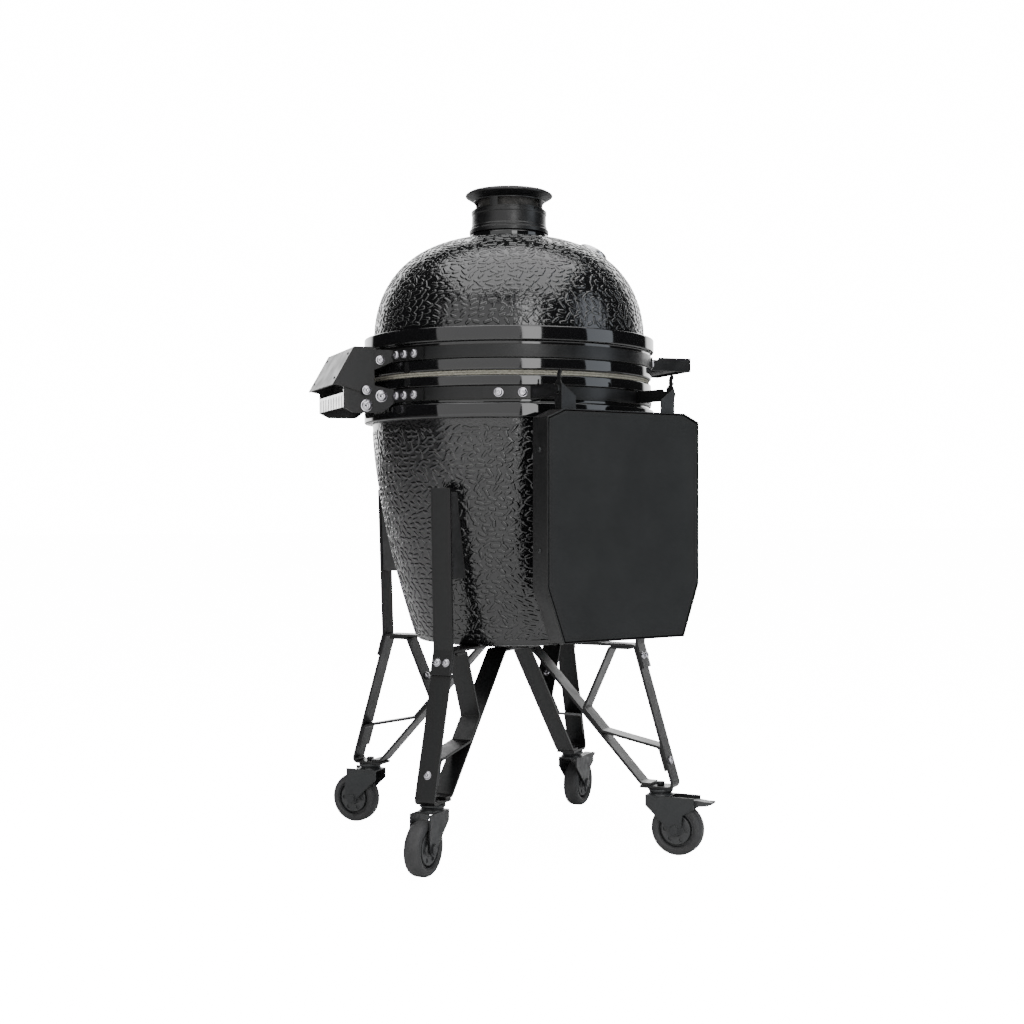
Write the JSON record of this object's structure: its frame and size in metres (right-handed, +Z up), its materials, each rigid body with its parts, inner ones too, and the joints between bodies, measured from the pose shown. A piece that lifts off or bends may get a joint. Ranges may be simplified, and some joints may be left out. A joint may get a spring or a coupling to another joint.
{
  "type": "kamado ceramic grill",
  "caption": "Black ceramic egg-shaped charcoal grill with a hinged lid and top vent, on a splayed steel caster stand with a folding side shelf.",
  "frame": {"origin": "on the floor, below the middle of the bounding box", "axes": "+Z up; the front with the handle faces -Y, the lid hinge is at +Y, the side shelf hangs at -X"},
  "size_m": [0.7118, 0.742, 1.2783],
  "materials": {
    "black_glazed_ceramic": "glossy glaze with a raised pattern",
    "black_powder_coat": "satin powder coat",
    "gasket_felt": "grey-beige felt",
    "fire_clay": "unglazed fire clay",
    "stainless_steel": "brushed",
    "cast_iron": "bare casting",
    "vent_paint": "high-heat satin paint",
    "needle_red": "painted",
    "grip_black": "matt",
    "tray_powder_coat": "satin powder coat",
    "charcoal_panel": "matt mineral-filled board",
    "pad_rubber": "matt",
    "black_zinc": "black zinc plate",
    "caster_rubber": "matt tread on a plastic wheel",
    "pedal_plastic": "moulded"
  },
  "bodies": {
    "base": {"ceramic_base": "black_glazed_ceramic", "base_gasket": "gasket_felt", "fire_bowl": "fire_clay", "fire_ring": "fire_clay", "charcoal_grate": "cast_iron", "cooking_grate": "stainless_steel", "draft_frame": "stainless_steel", "base_band": "black_powder_coat", "hinge_lower_bracket": "black_powder_coat", "shelf_bracket_rear": "black_powder_coat", "shelf_bracket_front": "black_powder_coat", "hub_plate": "black_powder_coat", "inner_bars_a": "black_powder_coat", "inner_bars_b": "black_powder_coat", "leg_bar_rear_right": "black_powder_coat", "post_rear_right": "black_powder_coat", "brace_rear_right": "black_powder_coat", "bowl_pad_rear_right": "pad_rubber", "caster_stem_rear_right": "black_zinc", "leg_bar_rear_left": "black_powder_coat", "post_rear_left": "black_powder_coat", "brace_rear_left": "black_powder_coat", "bowl_pad_rear_left": "pad_rubber", "caster_stem_rear_left": "black_zinc", "leg_bar_front_left": "black_powder_coat", "post_front_left": "black_powder_coat", "brace_front_left": "black_powder_coat", "bowl_pad_front_left": "pad_rubber", "caster_stem_front_left": "black_zinc", "leg_bar_front_right": "black_powder_coat", "post_front_right": "black_powder_coat", "brace_front_right": "black_powder_coat", "bowl_pad_front_right": "pad_rubber", "caster_stem_front_right": "black_zinc"},
    "lid": {"ceramic_lid": "black_glazed_ceramic", "lid_gasket": "gasket_felt", "lid_band": "black_powder_coat", "hinge_upper_bracket": "black_powder_coat", "hinge_cover": "black_powder_coat", "handle_bracket": "black_powder_coat", "handle_bar": "grip_black", "thermometer_case": "stainless_steel", "vent_body": "vent_paint"},
    "vent_cap": {"vent_cap": "vent_paint"},
    "needle": {"thermometer_needle": "needle_red"},
    "shelf": {"shelf_tray": "tray_powder_coat", "shelf_panel": "charcoal_panel", "shelf_arm_rear": "black_powder_coat", "shelf_arm_front": "black_powder_coat"},
    "draft_door": {"draft_door": "stainless_steel"},
    "swivel_rear_right": {"caster_fork_rear_right": "black_zinc"},
    "wheel_rear_right": {"caster_wheel_rear_right": "caster_rubber"},
    "swivel_rear_left": {"caster_fork_rear_left": "black_zinc"},
    "wheel_rear_left": {"caster_wheel_rear_left": "caster_rubber"},
    "swivel_front_left": {"caster_fork_front_left": "black_zinc"},
    "wheel_front_left": {"caster_wheel_front_left": "caster_rubber"},
    "pedal_front_left": {"brake_pedal_front_left": "pedal_plastic"},
    "swivel_front_right": {"caster_fork_front_right": "black_zinc"},
    "wheel_front_right": {"caster_wheel_front_right": "caster_rubber"},
    "pedal_front_right": {"brake_pedal_front_right": "pedal_plastic"}
  },
  "joints": [
    {"name": "lid_hinge", "type": "hinge", "parent": "base", "child": "lid", "pos_m": [0.04848, 0.309, 0.871], "axis": [-1, 0, 0], "range_deg": [0, 70]},
    {"name": "vent_cap_turn", "type": "hinge", "parent": "lid", "child": "vent_cap", "pos_m": [0.04848, -0.01, 1.24], "axis": [0, 0, 1], "range_deg": [0, 90]},
    {"name": "needle_turn", "type": "hinge", "parent": "lid", "child": "needle", "pos_m": [0.04848, -0.182, 1.15437], "axis": [0, -0.4824, 0.8759], "range_deg": [0, 270]},
    {"name": "shelf_fold", "type": "hinge", "parent": "base", "child": "shelf", "pos_m": [-0.28583, -0.09521, 0.862], "axis": [-0.247, 0.969, 0], "range_deg": [0, 90]},
    {"name": "draft_slide", "type": "slide", "parent": "base", "child": "draft_door", "axis": [1, 0, 0], "range_m": [0, 0.1]},
    {"name": "swivel_rear_right", "type": "hinge", "parent": "base", "child": "swivel_rear_right", "pos_m": [0.27383, 0.21535, 0.112], "axis": [0, 0, 1], "continuous": true},
    {"name": "roll_rear_right", "type": "hinge", "parent": "swivel_rear_right", "child": "wheel_rear_right", "pos_m": [0.29787, 0.2394, 0.05], "axis": [-0.7071, 0.7071, 0], "continuous": true},
    {"name": "swivel_rear_left", "type": "hinge", "parent": "base", "child": "swivel_rear_left", "pos_m": [-0.17688, 0.21535, 0.112], "axis": [0, 0, 1], "continuous": true},
    {"name": "roll_rear_left", "type": "hinge", "parent": "swivel_rear_left", "child": "wheel_rear_left", "pos_m": [-0.20092, 0.2394, 0.05], "axis": [-0.7071, -0.7071, 0], "continuous": true},
    {"name": "swivel_front_left", "type": "hinge", "parent": "base", "child": "swivel_front_left", "pos_m": [-0.17688, -0.23535, 0.112], "axis": [0, 0, 1], "continuous": true},
    {"name": "roll_front_left", "type": "hinge", "parent": "swivel_front_left", "child": "wheel_front_left", "pos_m": [-0.20092, -0.2594, 0.05], "axis": [0.7071, -0.7071, 0], "continuous": true},
    {"name": "brake_front_left", "type": "hinge", "parent": "swivel_front_left", "child": "pedal_front_left", "pos_m": [-0.22213, -0.28061, 0.0985], "axis": [0.7071, -0.7071, 0], "range_deg": [0, 10]},
    {"name": "swivel_front_right", "type": "hinge", "parent": "base", "child": "swivel_front_right", "pos_m": [0.27383, -0.23535, 0.112], "axis": [0, 0, 1], "continuous": true},
    {"name": "roll_front_right", "type": "hinge", "parent": "swivel_front_right", "child": "wheel_front_right", "pos_m": [0.29787, -0.2594, 0.05], "axis": [0.7071, 0.7071, 0], "continuous": true},
    {"name": "brake_front_right", "type": "hinge", "parent": "swivel_front_right", "child": "pedal_front_right", "pos_m": [0.31909, -0.28061, 0.0985], "axis": [0.7071, 0.7071, 0], "range_deg": [0, 10]}
  ]
}
